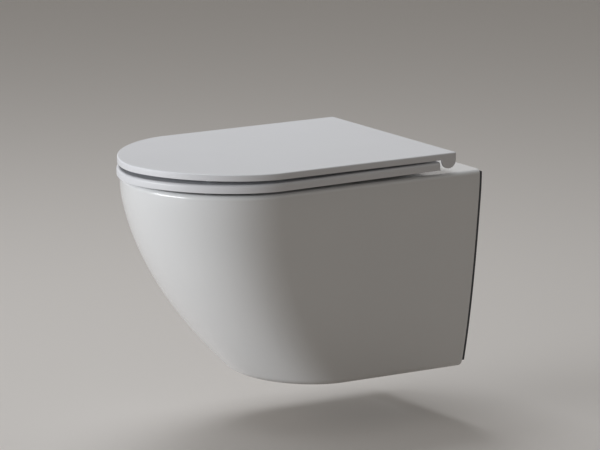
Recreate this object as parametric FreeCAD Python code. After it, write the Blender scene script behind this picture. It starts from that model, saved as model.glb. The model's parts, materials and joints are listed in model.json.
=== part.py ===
import FreeCAD, Part
import math
import os

from FreeCAD import Vector

# A wall-hung toilet with a slim seat and cover.  Millimetres, +Z up.
# The origin is the middle of the two wall studs, on the wall's face (Y = 0).
# The pan reaches from the wall towards -Y, and +X is on the right of a person
# who stands in front of the toilet and looks at the wall.

# ---- driving dimensions: pan ----
DECK_Z = 85.0               # top of the rim and rear deck above the studs
PAN_HEIGHT = 330.0
PAN_HALF_WIDTH = 179.0      # at the rim
PAN_FRONT = -532.5          # nose of the rim
MAT_THICKNESS = 3.0         # sound mat between pan and wall
RIM_BAND = 22.0             # upright band below the rim, before the taper
BAND_KNEE = 16.0            # softness of the change from band to taper
SIDE_TAPER = 35.0           # what each side loses down to the bottom, evenly
SIDE_CURVE = 14.0           # and what it loses mostly near the bottom
FRONT_TAPER = 60.0
FRONT_CURVE = 134.5
NOSE_LENGTH = 161.0         # from the straight sides' end to the nose, at the rim
NOSE_SHORTENING = 49.0      # less than that at the bottom
NOSE_POWER = 1.95           # 2 is an ellipse
REAR_CORNER_R = 6.0
RIM_EDGE_R = 7.0
FOOT_EDGE_R = 10.0
# heights of the outline's sections, from rim to foot; they lie closer under the rim
SECTION_SHARES = (0, 0.03, 0.06, 0.1, 0.16, 0.25, 0.37, 0.5, 0.63, 0.76, 0.88, 1)
SKIRT_WALL = 11.0
DECK_WALL = 14.0
FLOOR_WALL = 10.0
WEB_WALL = 14.0             # upright wall at the back, which the studs pass
WEB_BOTTOM = -30.0
ACCESS_HALF_WIDTH = 100.0   # opening below, for reaching the nuts
ACCESS_FRONT = -190.0
ACCESS_BACK = -28.0

# ---- bowl, trap, inlet and outlet ----
BOWL_WALL = 10.0
BOWL_LIP_R = 8.0
# depth below the rim, half width, front and rear of the bowl's inner face
BOWL_LEVELS = (
    (0.0, 127.0, -488.0, -168.0),
    (60.0, 121.0, -480.0, -172.0),
    (120.0, 108.0, -458.0, -186.0),
    (170.0, 88.0, -425.0, -205.0),
    (210.0, 64.0, -385.0, -230.0),
    (250.0, 42.0, -350.0, -254.0),
    (290.0, 25.0, -325.0, -275.0),
)
TRAP_R = 26.0
TRAP_WALL = 9.0
TRAP_BOTTOM_Z = -208.0      # centre line under the water seal
TRAP_FRONT = -300.0
TRAP_TURN = -262.0          # here the trap turns upwards
TRAP_TURN_R = 40.0
TRAP_SLOPE = 52.0           # degrees
TRAP_TOP_Z = -98.0
OUTLET_Z = -100.0
OUTLET_R = 51.0             # outer radius of the spigot
OUTLET_WALL = 8.0
OUTLET_DOME_Y = -125.0
INLET_Z = 35.0
SOCKET_R = 27.5
SOCKET_DEPTH = 35.0
CHANNEL_R = 21.0
CHANNEL_WALL = 12.0
CHANNEL_FRONT = -178.0
SEAL_R = 22.5               # bore of the rubber seal, for a 45 mm flush pipe
SEAL_LENGTH = 32.0
SEAL_PLAY = 0.2
SPLITTER_BACK = -140.0
SPLITTER_TUBE = 30.0
SPLITTER_WALL = 2.0
SPLITTER_GAP = 12.0         # free way between tube and deflector
DEFLECTOR_HALF_WIDTH = 24.0
DEFLECTOR_SWEEP = 3.5       # how far its wings lie behind its nose
DEFLECTOR_HEIGHT = 34.0
DEFLECTOR_WALL = 3.0
MAT_INSET = 3.0
OPEN_BACK = 14.0            # how far the hollow is cut past the wall's plane

# ---- wall fixings ----
STUD_SPACING = 180.0
STUD_HOLE_R = 6.25          # clearance hole for an M12 stud
SLEEVE_R = 11.7
SLEEVE_PLAY = 0.3
SLEEVE_FLANGE_R = 18.0
SLEEVE_FLANGE = 3.0
WASHER_R = 14.0
WASHER_THICKNESS = 2.5
NUT_ACROSS_FLATS = 18.0
NUT_HEIGHT = 10.0
NUT_CROWN_R = 11.2           # of the ball that rounds its corners

# ---- seat and cover ----
HINGE_Y = -67.3
HINGE_HEIGHT = 22.2         # of the hinge axis above the deck
COVER_HALF_WIDTH = 182.5
COVER_FRONT = -543.0
COVER_OVERHANG = 13.0       # behind the hinge axis
COVER_TOP = 34.0            # above the deck
COVER_EDGE = 10.4           # height of the rim around the cover
COVER_PLATE = 5.0
COVER_RIM = 4.0             # wall of that rim
COVER_EDGE_R = 2.2
SEAT_PROUD = 1.0            # the seat stands out past the cover
SEAT_TOP = 21.0             # above the deck, before the tilt
SEAT_TILT = 0.5             # degrees that the seat falls towards its nose, about the hinge axis
SEAT_THICKNESS = 13.2
SEAT_REAR = -84.4
SEAT_OUTER_R = 4.7
SEAT_INNER_R = 7.0
SEAT_UNDER_R = 1.2
SEAT_NOSE_LENGTH = 169.8
SEAT_NOSE_POWER = 1.763
SEAT_HOLE_HALF_WIDTH = 112.0
SEAT_HOLE_FRONT = -470.0
SEAT_HOLE_REAR = -196.0
SEAT_HOLE_POWER = 2.2
SEAT_BUFFER_LENGTH = 34.0
SEAT_BUFFER_WIDTH = 14.0
SEAT_BUFFER_PLACES = ((150.0, -250.0), (108.0, -452.0))
COVER_BUFFER_LENGTH = 20.0
COVER_BUFFER_WIDTH = 10.0
COVER_BUFFER_PLACES = ((148.0, -210.0), (112.0, -458.0))
BUFFER_PLAY = 0.3
EAR_ROOT = 7.0              # how far the hinge ears reach into the seat
EAR_ROOT_R = 6.2

# ---- hinges ----
POST_SPACING = 155.0
POST_Y = -100.3
BASE_R = 23.0
BASE_HEIGHT = 4.0
BASE_EDGE_R = 1.5
GASKET_THICKNESS = 1.0
GASKET_R = 22.0
DECK_HOLE_R = 7.5
POST_R = 5.0
POST_HEIGHT = 8.5
BOLT_R = 4.0
BOLT_LENGTH = 46.0
HEX_KEY_R = 2.9
HEX_KEY_DEPTH = 5.0
PLUG_PLAY = 0.2
PLUG_COLLAR_R = 11.0
PLUG_COLLAR = 11.0
CONE_R = 9.0
CONE_SMALL_R = 7.2
CONE_HEIGHT = 9.0
BLOCK_WIDTH = 15.0
BARREL_R = 6.4
BLOCK_REAR = 18.5           # the pillar's rear face, in front of the axis
BLOCK_FRONT = 42.0          # its front face, in front of the axis
BLOCK_TOP = 1.0             # above the axis
BLOCK_SHOULDER = 14.0       # end of the level top over the arm, in front of the axis
BLOCK_LEDGE = 26.0          # start of the lower top round the button
ARM_FOOT = 4.3              # the arm's underside below the axis, at the pillar
NOTCH_FRONT = 60.0          # end of the seat's notch, in front of the axis
BLOCK_EDGE_R = 4.0
SIDE_PLAY = 0.5             # between neighbours along the axis
PIN_R = 3.0
RUN_PLAY = 0.08
PIN_CHAMFER = 0.5
BUSH_WALL = 1.2
SEAT_EAR_INNER = 13.5       # width of the ear on the block's inner side
SEAT_EAR_OUTER = 11.5
COVER_BOSS = 10.5
COVER_BOSS_R = 7.0
DAMPER_R = 6.2
DAMPER_LENGTH = 31.5
DAMPER_GRIP = 6.0           # how far the pin reaches into the damper
DAMPER_STUB_R = 3.5
DAMPER_EAR = 7.5
DAMPER_CHAMFER = 0.8
BUTTON_R = 4.5
BUTTON_RISE = 2.5           # how far it stands out, and its travel
BUTTON_HEIGHT = 6.5
BUTTON_PLAY = 0.1
BUTTON_EDGE_R = 0.8
SPRING_LENGTH = 4.0
SPRING_R = 3.0
SPRING_WIRE = 0.35          # half the side of its square wire
SPRING_TURNS = 3

# ---- places worked out from the dimensions ----
PAN_BACK = -MAT_THICKNESS
PAN_BOTTOM = DECK_Z - PAN_HEIGHT
WEB_FRONT = PAN_BACK - WEB_WALL
STUD_X = STUD_SPACING / 2
HINGE_Z = DECK_Z + HINGE_HEIGHT
COVER_BACK = HINGE_Y + COVER_OVERHANG
COVER_TOP_Z = DECK_Z + COVER_TOP
COVER_UNDER_Z = COVER_TOP_Z - COVER_PLATE
SEAT_TOP_Z = DECK_Z + SEAT_TOP
SEAT_UNDER_Z = SEAT_TOP_Z - SEAT_THICKNESS
SEAT_HALF_WIDTH = COVER_HALF_WIDTH + SEAT_PROUD
SEAT_FRONT = COVER_FRONT - SEAT_PROUD
POST_X = POST_SPACING / 2
BASE_BOTTOM_Z = DECK_Z + GASKET_THICKNESS
BASE_TOP_Z = BASE_BOTTOM_Z + BASE_HEIGHT
BLOCK_TOP_Z = HINGE_Z + BLOCK_TOP
BLOCK_INNER = POST_X - BLOCK_WIDTH / 2
BLOCK_OUTER = POST_X + BLOCK_WIDTH / 2
SEAT_EAR_IN = (BLOCK_INNER - SIDE_PLAY - SEAT_EAR_INNER, BLOCK_INNER - SIDE_PLAY)
SEAT_EAR_OUT = (BLOCK_OUTER + SIDE_PLAY, BLOCK_OUTER + SIDE_PLAY + SEAT_EAR_OUTER)
COVER_BOSS_X = (SEAT_EAR_OUT[1] + SIDE_PLAY, SEAT_EAR_OUT[1] + SIDE_PLAY + COVER_BOSS)
DAMPER_OUT = SEAT_EAR_IN[0] - SIDE_PLAY
DAMPER_IN = DAMPER_OUT - DAMPER_LENGTH
DAMPER_EAR_X = (DAMPER_IN - SIDE_PLAY - DAMPER_EAR, DAMPER_IN - SIDE_PLAY)
PIN_INNER = DAMPER_OUT - DAMPER_GRIP
BUSH_R = PIN_R + RUN_PLAY + BUSH_WALL
TOUCH = 0.02                # play of pieces that are fixed in each other

X_AXIS = Vector(1, 0, 0)
Y_AXIS = Vector(0, 1, 0)
Z_AXIS = Vector(0, 0, 1)


# ---- helpers ----
def box(x0, x1, y0, y1, z0, z1):
    return Part.makeBox(x1 - x0, y1 - y0, z1 - z0, Vector(x0, y0, z0))


def rod_x(radius, x0, x1, y=HINGE_Y, z=HINGE_Z):
    return Part.makeCylinder(radius, x1 - x0, Vector(x0, y, z), X_AXIS)


def rod_y(radius, y0, y1, x=0.0, z=0.0):
    return Part.makeCylinder(radius, y1 - y0, Vector(x, y0, z), Y_AXIS)


def rod_z(radius, z0, z1, x=0.0, y=0.0):
    return Part.makeCylinder(radius, z1 - z0, Vector(x, y, z0), Z_AXIS)


def mirrored(shape):
    return shape.mirror(Vector(0, 0, 0), X_AXIS)


def both_sides(shape):
    return [shape, mirrored(shape)]


def group(shapes):
    return Part.makeCompound(shapes)


def fused(shapes):
    return shapes[0].multiFuse(shapes[1:]).removeSplitter()


def signed_power(value, power):
    return math.copysign(abs(value) ** power, value)


def nose_edge(half_width, front, length, power, z, steps=12):
    """The rounded front of an outline, from its right side round to its left."""
    points = []
    for i in range(steps + 1):
        turn = math.pi * i / steps
        x = half_width * signed_power(math.cos(turn), 2 / power)
        y = front + length - length * math.sin(turn) ** (2 / power)
        points.append(Vector(x, y, z))
    curve = Part.BSplineCurve()
    curve.interpolate(Points=points, InitialTangent=Vector(0, -1, 0),
                      FinalTangent=Vector(0, 1, 0), Scale=False)
    return curve.toShape()


def d_wire(half_width, back, front, length, power, z, corner=0.0):
    """A D-shaped outline: straight back and sides, rounded front."""
    side_end = front + length
    nose = nose_edge(half_width, front, length, power, z)
    left_front = Vector(-half_width, side_end, z)
    right_front = Vector(half_width, side_end, z)
    if corner == 0:
        left_back = Vector(-half_width, back, z)
        right_back = Vector(half_width, back, z)
        edges = [nose,
                 Part.makeLine(left_front, left_back),
                 Part.makeLine(left_back, right_back),
                 Part.makeLine(right_back, right_front)]
        return Part.Wire(edges)
    cut = corner * (1 - math.sqrt(0.5))
    left_side = Vector(-half_width, back - corner, z)
    left_mid = Vector(cut - half_width, back - cut, z)
    left_back = Vector(corner - half_width, back, z)
    right_back = Vector(half_width - corner, back, z)
    right_mid = Vector(half_width - cut, back - cut, z)
    right_side = Vector(half_width, back - corner, z)
    edges = [nose,
             Part.makeLine(left_front, left_side),
             Part.Arc(left_side, left_mid, left_back).toShape(),
             Part.makeLine(left_back, right_back),
             Part.Arc(right_back, right_mid, right_side).toShape(),
             Part.makeLine(right_side, right_front)]
    return Part.Wire(edges)


def oval_wire(half_width, front, rear, z, power=2.0, steps=32):
    """A closed oval, by formula."""
    middle = (front + rear) / 2
    half_length = (rear - front) / 2
    points = []
    for i in range(steps):
        turn = 2 * math.pi * i / steps
        x = half_width * signed_power(math.cos(turn), 2 / power)
        y = middle + half_length * signed_power(math.sin(turn), 2 / power)
        points.append(Vector(x, y, z))
    curve = Part.BSplineCurve()
    curve.interpolate(Points=points, PeriodicFlag=True)
    return Part.Wire([curve.toShape()])


def prism(wire, height):
    return Part.Face(wire).extrude(Vector(0, 0, height))


def rounding(radius, steps=5):
    """Distance from the edge's face and inset, along a quarter round."""
    stops = []
    for i in range(steps + 1):
        turn = math.pi / 2 * i / steps
        stops.append((radius * (1 - math.sin(turn)), radius * (1 - math.cos(turn))))
    return stops


def rounded_slab(outline, z_low, z_high, low_r, high_r):
    """A slab with rounded edges; outline(inset, z) gives its wire at a height."""
    shells = []
    if low_r > 0:
        shells.append([outline(inset, z_low + rise) for rise, inset in rounding(low_r)])
    shells.append([outline(0, z_low + low_r), outline(0, z_high - high_r)])
    if high_r > 0:
        shells.append([outline(inset, z_high - drop) for drop, inset in rounding(high_r)])
    return fused([Part.makeLoft(wires, True, False) for wires in shells])


def plate_x(points, x0, x1):
    """A flat piece between x0 and x1; its outline is given as Y and Z."""
    corners = [Vector(x0, y, z) for y, z in points]
    face = Part.Face(Part.makePolygon(corners + corners[:1]))
    return face.extrude(Vector(x1 - x0, 0, 0))


def link_x(y0, z0, r0, y1, z1, r1, x0, x1):
    """A strap around two rods that run along X."""
    span = math.hypot(y1 - y0, z1 - z0)
    heading = math.atan2(z1 - z0, y1 - y0)
    lean = math.acos((r0 - r1) / span)
    corners = []
    for y, z, r, angle in ((y0, z0, r0, heading + lean), (y1, z1, r1, heading + lean),
                           (y1, z1, r1, heading - lean), (y0, z0, r0, heading - lean)):
        corners.append((y + r * math.cos(angle), z + r * math.sin(angle)))
    ends = [rod_x(r0, x0, x1, y0, z0), rod_x(r1, x0, x1, y1, z1)]
    return fused([plate_x(corners, x0, x1)] + ends)


def hex_prism(across_flats, height, centre, direction):
    corner_r = across_flats / math.sqrt(3)
    points = []
    for i in range(7):
        turn = math.radians(60 * i)
        points.append(Vector(corner_r * math.cos(turn), corner_r * math.sin(turn), 0))
    solid = Part.Face(Part.makePolygon(points)).extrude(Vector(0, 0, height))
    solid.Placement = FreeCAD.Placement(centre, FreeCAD.Rotation(Z_AXIS, direction))
    return solid


def edges_where(shape, test):
    return [edge for edge in shape.Edges if test(edge.BoundBox)]


def at_height(box_, z):
    return abs(box_.ZMin - z) < 0.01 and abs(box_.ZMax - z) < 0.01


# ---- pan ----
def below_band(depth):
    """How far a level lies below the rim's upright band, with a soft start."""
    knee = math.hypot(depth - RIM_BAND, BAND_KNEE) + depth - RIM_BAND
    start = math.hypot(RIM_BAND, BAND_KNEE) - RIM_BAND
    return (knee - start) / 2


def pan_wire(depth, inset, back, corner):
    share = below_band(depth) / below_band(PAN_HEIGHT)
    half_width = PAN_HALF_WIDTH - SIDE_TAPER * share - SIDE_CURVE * share ** 3
    front = PAN_FRONT + FRONT_TAPER * share + FRONT_CURVE * share ** 2
    length = NOSE_LENGTH - NOSE_SHORTENING * share
    return d_wire(half_width - inset, back, front + inset, length - inset, NOSE_POWER,
                  DECK_Z - depth, corner)


def pan_outside():
    low = PAN_HEIGHT - FOOT_EDGE_R
    upright = [pan_wire(RIM_EDGE_R + (low - RIM_EDGE_R) * share, 0, PAN_BACK, REAR_CORNER_R)
               for share in SECTION_SHARES]
    rim = [pan_wire(depth, inset, PAN_BACK, REAR_CORNER_R)
           for depth, inset in rounding(RIM_EDGE_R)]
    foot = [pan_wire(PAN_HEIGHT - rise, inset, PAN_BACK, REAR_CORNER_R)
            for rise, inset in rounding(FOOT_EDGE_R)]
    return fused([Part.makeLoft(wires, True, False) for wires in (upright, rim, foot)])


def pan_hollow():
    top = DECK_WALL
    bottom = PAN_HEIGHT - FLOOR_WALL
    wires = []
    for i in range(8):
        wires.append(pan_wire(top + (bottom - top) * i / 7, SKIRT_WALL, OPEN_BACK, 0))
    return Part.makeLoft(wires, True, False)


def bowl_shape(wall):
    wires = []
    for depth, half_width, front, rear in BOWL_LEVELS:
        wires.append(oval_wire(half_width + wall, front - wall, rear + wall, DECK_Z - depth))
    return Part.makeLoft(wires, True, False)


def trap_shape(radius):
    """The bent pipe from the bottom of the bowl up to the outlet."""
    slope = math.radians(TRAP_SLOPE)
    centre = Vector(0, TRAP_TURN, TRAP_BOTTOM_Z + TRAP_TURN_R)

    def on_turn(angle):
        return centre + Vector(0, math.sin(angle), -math.cos(angle)) * TRAP_TURN_R

    start = Vector(0, TRAP_FRONT, TRAP_BOTTOM_Z)
    turn_end = on_turn(slope)
    rise = (TRAP_TOP_Z - turn_end.z) / math.sin(slope)
    top = turn_end + Vector(0, math.cos(slope), math.sin(slope)) * rise
    path = Part.Wire([Part.makeLine(start, on_turn(0)),
                      Part.Arc(on_turn(0), on_turn(slope / 2), turn_end).toShape(),
                      Part.makeLine(turn_end, top)])
    ring = Part.Wire([Part.makeCircle(radius, start, Y_AXIS)])
    pipe = path.makePipeShell([ring], True, False)
    return [pipe, Part.makeSphere(radius, start)]


def outlet_shape(radius, back):
    dome = Vector(0, OUTLET_DOME_Y, OUTLET_Z)
    return [rod_y(radius, OUTLET_DOME_Y, back, 0, OUTLET_Z), Part.makeSphere(radius, dome)]


def ceramic_pan():
    body = pan_outside()
    past_back = -PAN_BACK
    channel = rod_y(CHANNEL_R + CHANNEL_WALL, CHANNEL_FRONT, PAN_BACK, 0, INLET_Z)
    kept = [box(-PAN_HALF_WIDTH, PAN_HALF_WIDTH, WEB_FRONT, OPEN_BACK + 1, WEB_BOTTOM, DECK_Z),
            bowl_shape(BOWL_WALL), channel]
    kept += trap_shape(TRAP_R + TRAP_WALL)
    kept += outlet_shape(OUTLET_R, OPEN_BACK + 1)
    hollow = pan_hollow().cut(kept)

    cuts = [hollow, bowl_shape(0)]
    cuts += trap_shape(TRAP_R)
    cuts += outlet_shape(OUTLET_R - OUTLET_WALL, past_back)
    cuts.append(rod_y(CHANNEL_R, CHANNEL_FRONT, past_back, 0, INLET_Z))
    cuts.append(rod_y(SOCKET_R, PAN_BACK - SOCKET_DEPTH, past_back, 0, INLET_Z))
    cuts.append(box(-ACCESS_HALF_WIDTH, ACCESS_HALF_WIDTH, ACCESS_FRONT, ACCESS_BACK,
                    PAN_BOTTOM - 1, PAN_BOTTOM + FLOOR_WALL + 1))
    for side in (-1, 1):
        cuts.append(rod_y(SLEEVE_R + SLEEVE_PLAY, WEB_FRONT - 1, past_back, side * STUD_X, 0))
        cuts.append(rod_z(DECK_HOLE_R, DECK_Z - DECK_WALL - 1, DECK_Z + 1,
                          side * POST_X, POST_Y))
    return body.cut(cuts)


def rim_opening_rounded(pan):
    lip = edges_where(pan, lambda b: at_height(b, DECK_Z) and abs(b.YMin - BOWL_LEVELS[0][2]) < 0.5)
    return pan.makeFillet(BOWL_LIP_R, lip)


def pan_sections():
    """The casting's sections, which are luted together before it is fired."""
    pan = rim_opening_rounded(ceramic_pan())
    deck = box(-PAN_HALF_WIDTH - 1, PAN_HALF_WIDTH + 1, PAN_FRONT - 1, PAN_BACK + 1,
               DECK_Z - DECK_WALL, DECK_Z + 1)
    pipes = trap_shape(TRAP_R + TRAP_WALL) + outlet_shape(OUTLET_R, PAN_BACK)
    rear = [box(-PAN_HALF_WIDTH, PAN_HALF_WIDTH, WEB_FRONT, PAN_BACK + 1, WEB_BOTTOM, DECK_Z),
            rod_y(CHANNEL_R + CHANNEL_WALL, CHANNEL_FRONT, PAN_BACK, 0, INLET_Z)]
    sections = {}
    rest = pan
    for name, form in (("pan_deck", deck), ("pan_bowl", bowl_shape(BOWL_WALL)),
                       ("pan_trapway", fused(pipes)), ("pan_rear_web", fused(rear))):
        sections[name] = rest.common(form)
        rest = rest.cut(form)
    sections["pan_skirt"] = rest
    return sections


def flush_splitter():
    """A short tube in the inlet channel, with a deflector that sends the water both ways."""
    front = SPLITTER_BACK - SPLITTER_TUBE
    outer_r = CHANNEL_R - SEAL_PLAY
    tube = rod_y(outer_r, front, SPLITTER_BACK, 0, INLET_Z)
    bore = rod_y(outer_r - SPLITTER_WALL, front - 1, SPLITTER_BACK + 1, 0, INLET_Z)
    nose = front - SPLITTER_GAP
    outline = []
    for x, y in ((-DEFLECTOR_HALF_WIDTH, nose + DEFLECTOR_SWEEP), (0, nose),
                 (DEFLECTOR_HALF_WIDTH, nose + DEFLECTOR_SWEEP),
                 (DEFLECTOR_HALF_WIDTH, nose + DEFLECTOR_SWEEP - DEFLECTOR_WALL),
                 (0, nose - DEFLECTOR_WALL),
                 (-DEFLECTOR_HALF_WIDTH, nose + DEFLECTOR_SWEEP - DEFLECTOR_WALL)):
        outline.append(Vector(x, y, INLET_Z - DEFLECTOR_HEIGHT / 2))
    shield = Part.Face(Part.makePolygon(outline + outline[:1]))
    shield = shield.extrude(Vector(0, 0, DEFLECTOR_HEIGHT))
    rib = box(-SPLITTER_WALL / 2, SPLITTER_WALL / 2, nose - SPLITTER_WALL, SPLITTER_BACK,
              INLET_Z - outer_r + SPLITTER_WALL / 2, INLET_Z + outer_r - SPLITTER_WALL / 2)
    return fused([tube.cut(bore), shield, rib])


def inlet_seal():
    back = PAN_BACK - SOCKET_DEPTH + SEAL_LENGTH
    ring = rod_y(SOCKET_R - SEAL_PLAY, back - SEAL_LENGTH, back, 0, INLET_Z)
    return ring.cut(rod_y(SEAL_R, back - SEAL_LENGTH - 1, back + 1, 0, INLET_Z))


def back_outline(inset, z_low, z_high, y, steps=10):
    """The pan's outline against the wall, between two heights."""
    points = []
    for i in range(steps + 1):
        z = z_low + (z_high - z_low) * i / steps
        share = below_band(DECK_Z - z) / below_band(PAN_HEIGHT)
        half_width = PAN_HALF_WIDTH - SIDE_TAPER * share - SIDE_CURVE * share ** 3
        points.append(Vector(half_width - inset, y, z))
    right = Part.BSplineCurve()
    right.interpolate(Points=points)
    left = Part.BSplineCurve()
    left.interpolate(Points=[Vector(-p.x, p.y, p.z) for p in points])
    low = Part.makeLine(Vector(-points[0].x, y, z_low), points[0])
    high = Part.makeLine(points[-1], Vector(-points[-1].x, y, z_high))
    return Part.Face(Part.Wire([low, right.toShape(), high, left.toShape()]))


def wall_mat():
    low = PAN_BOTTOM + FOOT_EDGE_R
    sheet = back_outline(MAT_INSET, low, DECK_Z - MAT_INSET, PAN_BACK)
    sheet = sheet.extrude(Vector(0, MAT_THICKNESS, 0))
    window = back_outline(SKIRT_WALL + MAT_INSET, PAN_BOTTOM + FLOOR_WALL + MAT_INSET,
                          WEB_BOTTOM - MAT_INSET, PAN_BACK - 1)
    holes = [window.extrude(Vector(0, MAT_THICKNESS + 2, 0)),
             rod_y(SOCKET_R + MAT_INSET, PAN_BACK - 1, 1, 0, INLET_Z)]
    for side in (-1, 1):
        holes.append(rod_y(STUD_HOLE_R, PAN_BACK - 1, 1, side * STUD_X, 0))
    return sheet.cut(holes)


# ---- wall fixings ----
def fixing_sleeve():
    body = rod_y(SLEEVE_R, WEB_FRONT, PAN_BACK, STUD_X, 0)
    flange = rod_y(SLEEVE_FLANGE_R, WEB_FRONT - SLEEVE_FLANGE, WEB_FRONT, STUD_X, 0)
    bore = rod_y(STUD_HOLE_R, WEB_FRONT - SLEEVE_FLANGE - 1, PAN_BACK + 1, STUD_X, 0)
    return fused([body, flange]).cut(bore)


def fixing_washer():
    back = WEB_FRONT - SLEEVE_FLANGE
    disc = rod_y(WASHER_R, back - WASHER_THICKNESS, back, STUD_X, 0)
    return disc.cut(rod_y(STUD_HOLE_R, back - WASHER_THICKNESS - 1, back + 1, STUD_X, 0))


def fixing_nut():
    back = WEB_FRONT - SLEEVE_FLANGE - WASHER_THICKNESS
    nut = hex_prism(NUT_ACROSS_FLATS, NUT_HEIGHT, Vector(STUD_X, back, 0), Vector(0, -1, 0))
    crown = Part.makeSphere(NUT_CROWN_R, Vector(STUD_X, back - NUT_HEIGHT / 2, 0))
    bore = rod_y(STUD_HOLE_R, back - NUT_HEIGHT - 1, back + 1, STUD_X, 0)
    return nut.common(crown).cut(bore)


# ---- hinges: one side, at +X ----
def hinge_base():
    disc = rod_z(BASE_R, BASE_BOTTOM_Z, BASE_TOP_Z, POST_X, POST_Y)
    disc = disc.makeFillet(BASE_EDGE_R, edges_where(disc, lambda b: at_height(b, BASE_TOP_Z)))
    return disc.cut(rod_z(BOLT_R + PLUG_PLAY, DECK_Z, BASE_TOP_Z + 1, POST_X, POST_Y))


def base_gasket():
    disc = rod_z(GASKET_R, DECK_Z, BASE_BOTTOM_Z, POST_X, POST_Y)
    return disc.cut(rod_z(BOLT_R + PLUG_PLAY, DECK_Z - 1, BASE_TOP_Z, POST_X, POST_Y))


def hinge_post():
    pillar = rod_z(POST_R, BASE_TOP_Z, BASE_TOP_Z + POST_HEIGHT, POST_X, POST_Y)
    bolt = rod_z(BOLT_R, BASE_TOP_Z - BOLT_LENGTH, BASE_TOP_Z, POST_X, POST_Y)
    top = Vector(POST_X, POST_Y, BASE_TOP_Z + POST_HEIGHT)
    socket = hex_prism(HEX_KEY_R * 2, HEX_KEY_DEPTH, top, Vector(0, 0, -1))
    return fused([pillar, bolt]).cut(socket)


def expansion_plug():
    under_deck = DECK_Z - DECK_WALL
    sleeve = rod_z(DECK_HOLE_R - PLUG_PLAY, under_deck - 1, DECK_Z, POST_X, POST_Y)
    collar = rod_z(PLUG_COLLAR_R, under_deck - PLUG_COLLAR, under_deck, POST_X, POST_Y)
    bore = rod_z(BOLT_R + PLUG_PLAY, under_deck - PLUG_COLLAR - 1, DECK_Z + 1, POST_X, POST_Y)
    return fused([sleeve, collar]).cut(bore)


def cone_nut():
    top = DECK_Z - DECK_WALL - PLUG_COLLAR
    foot = Vector(POST_X, POST_Y, top - CONE_HEIGHT)
    cone = Part.makeCone(CONE_SMALL_R, CONE_R, CONE_HEIGHT, foot, Z_AXIS)
    return cone.cut(rod_z(BOLT_R + TOUCH, foot.z - 1, top + 1, POST_X, POST_Y))


def hinge_block():
    """The upright block on the post, with the arm that holds the pin."""
    y = HINGE_Y
    z = HINGE_Z
    profile = [(y, z + BARREL_R), (y - BLOCK_SHOULDER, z + BARREL_R),
               (y - BLOCK_LEDGE, BLOCK_TOP_Z), (y - BLOCK_FRONT, BLOCK_TOP_Z),
               (y - BLOCK_FRONT, BASE_TOP_Z), (y - BLOCK_REAR, BASE_TOP_Z),
               (y - BLOCK_REAR, z - ARM_FOOT), (y, z - BARREL_R)]
    body = plate_x(profile, BLOCK_INNER, BLOCK_OUTER)
    front = edges_where(body, lambda b: b.YMax < y - BLOCK_FRONT + 0.01 and b.ZMin > BASE_TOP_Z + 1
                        and b.XMax - b.XMin > 1)
    body = body.makeFillet(BLOCK_EDGE_R, front)
    body = fused([body, rod_x(BARREL_R, BLOCK_INNER, BLOCK_OUTER)])
    pocket = BUTTON_HEIGHT - BUTTON_RISE + SPRING_LENGTH
    return body.cut([
        rod_x(PIN_R + TOUCH, BLOCK_INNER - 1, BLOCK_OUTER + 1),
        rod_z(POST_R + TOUCH, BASE_TOP_Z - 1, BASE_TOP_Z + POST_HEIGHT + PLUG_PLAY, POST_X, POST_Y),
        rod_z(BUTTON_R + BUTTON_PLAY, BLOCK_TOP_Z - pocket, BLOCK_TOP_Z + 1, POST_X, POST_Y)])


def release_button():
    top = BLOCK_TOP_Z + BUTTON_RISE
    head = rod_z(BUTTON_R, top - BUTTON_HEIGHT, top, POST_X, POST_Y)
    return head.makeFillet(BUTTON_EDGE_R, edges_where(head, lambda b: at_height(b, top)))


def release_spring():
    low = BLOCK_TOP_Z + BUTTON_RISE - BUTTON_HEIGHT - SPRING_LENGTH + SPRING_WIRE
    height = SPRING_LENGTH - 2 * SPRING_WIRE
    helix = Part.makeHelix(height / SPRING_TURNS, height, SPRING_R)
    section = []
    for out, up in ((-1, -1), (1, -1), (1, 1), (-1, 1)):
        section.append(Vector(SPRING_R + out * SPRING_WIRE, 0, up * SPRING_WIRE))
    section = Part.makePolygon(section + section[:1])
    coil = Part.Wire(helix.Edges).makePipeShell([section], True, True)
    coil.translate(Vector(POST_X, POST_Y, low))
    return coil


def hinge_pin():
    pin = rod_x(PIN_R, PIN_INNER, COVER_BOSS_X[1])
    return pin.makeChamfer(PIN_CHAMFER, edges_where(pin, lambda b: b.XMax - b.XMin < 0.01))


def bushing(span):
    ring = rod_x(BUSH_R, span[0], span[1])
    return ring.cut(rod_x(PIN_R + RUN_PLAY, span[0] - 1, span[1] + 1))


def damper():
    """A soft-close damper: body, keyed stub, and the socket that takes the pin's end."""
    body = rod_x(DAMPER_R, DAMPER_IN, DAMPER_OUT)
    body = body.makeChamfer(DAMPER_CHAMFER, edges_where(body, lambda b: b.XMax - b.XMin < 0.01))
    stub = rod_x(DAMPER_STUB_R, DAMPER_EAR_X[0], DAMPER_IN)
    socket = rod_x(PIN_R + RUN_PLAY, DAMPER_OUT - DAMPER_GRIP - SIDE_PLAY, DAMPER_OUT + 1)
    return fused([body, stub]).cut(socket)


# ---- seat ----
def seat_ear(span, bore_r):
    ear = link_x(HINGE_Y, HINGE_Z, BARREL_R, SEAT_REAR - EAR_ROOT,
                 SEAT_UNDER_Z + SEAT_THICKNESS / 2, EAR_ROOT_R, span[0], span[1])
    return ear, rod_x(bore_r, span[0] - 1, span[1] + 1)


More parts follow.
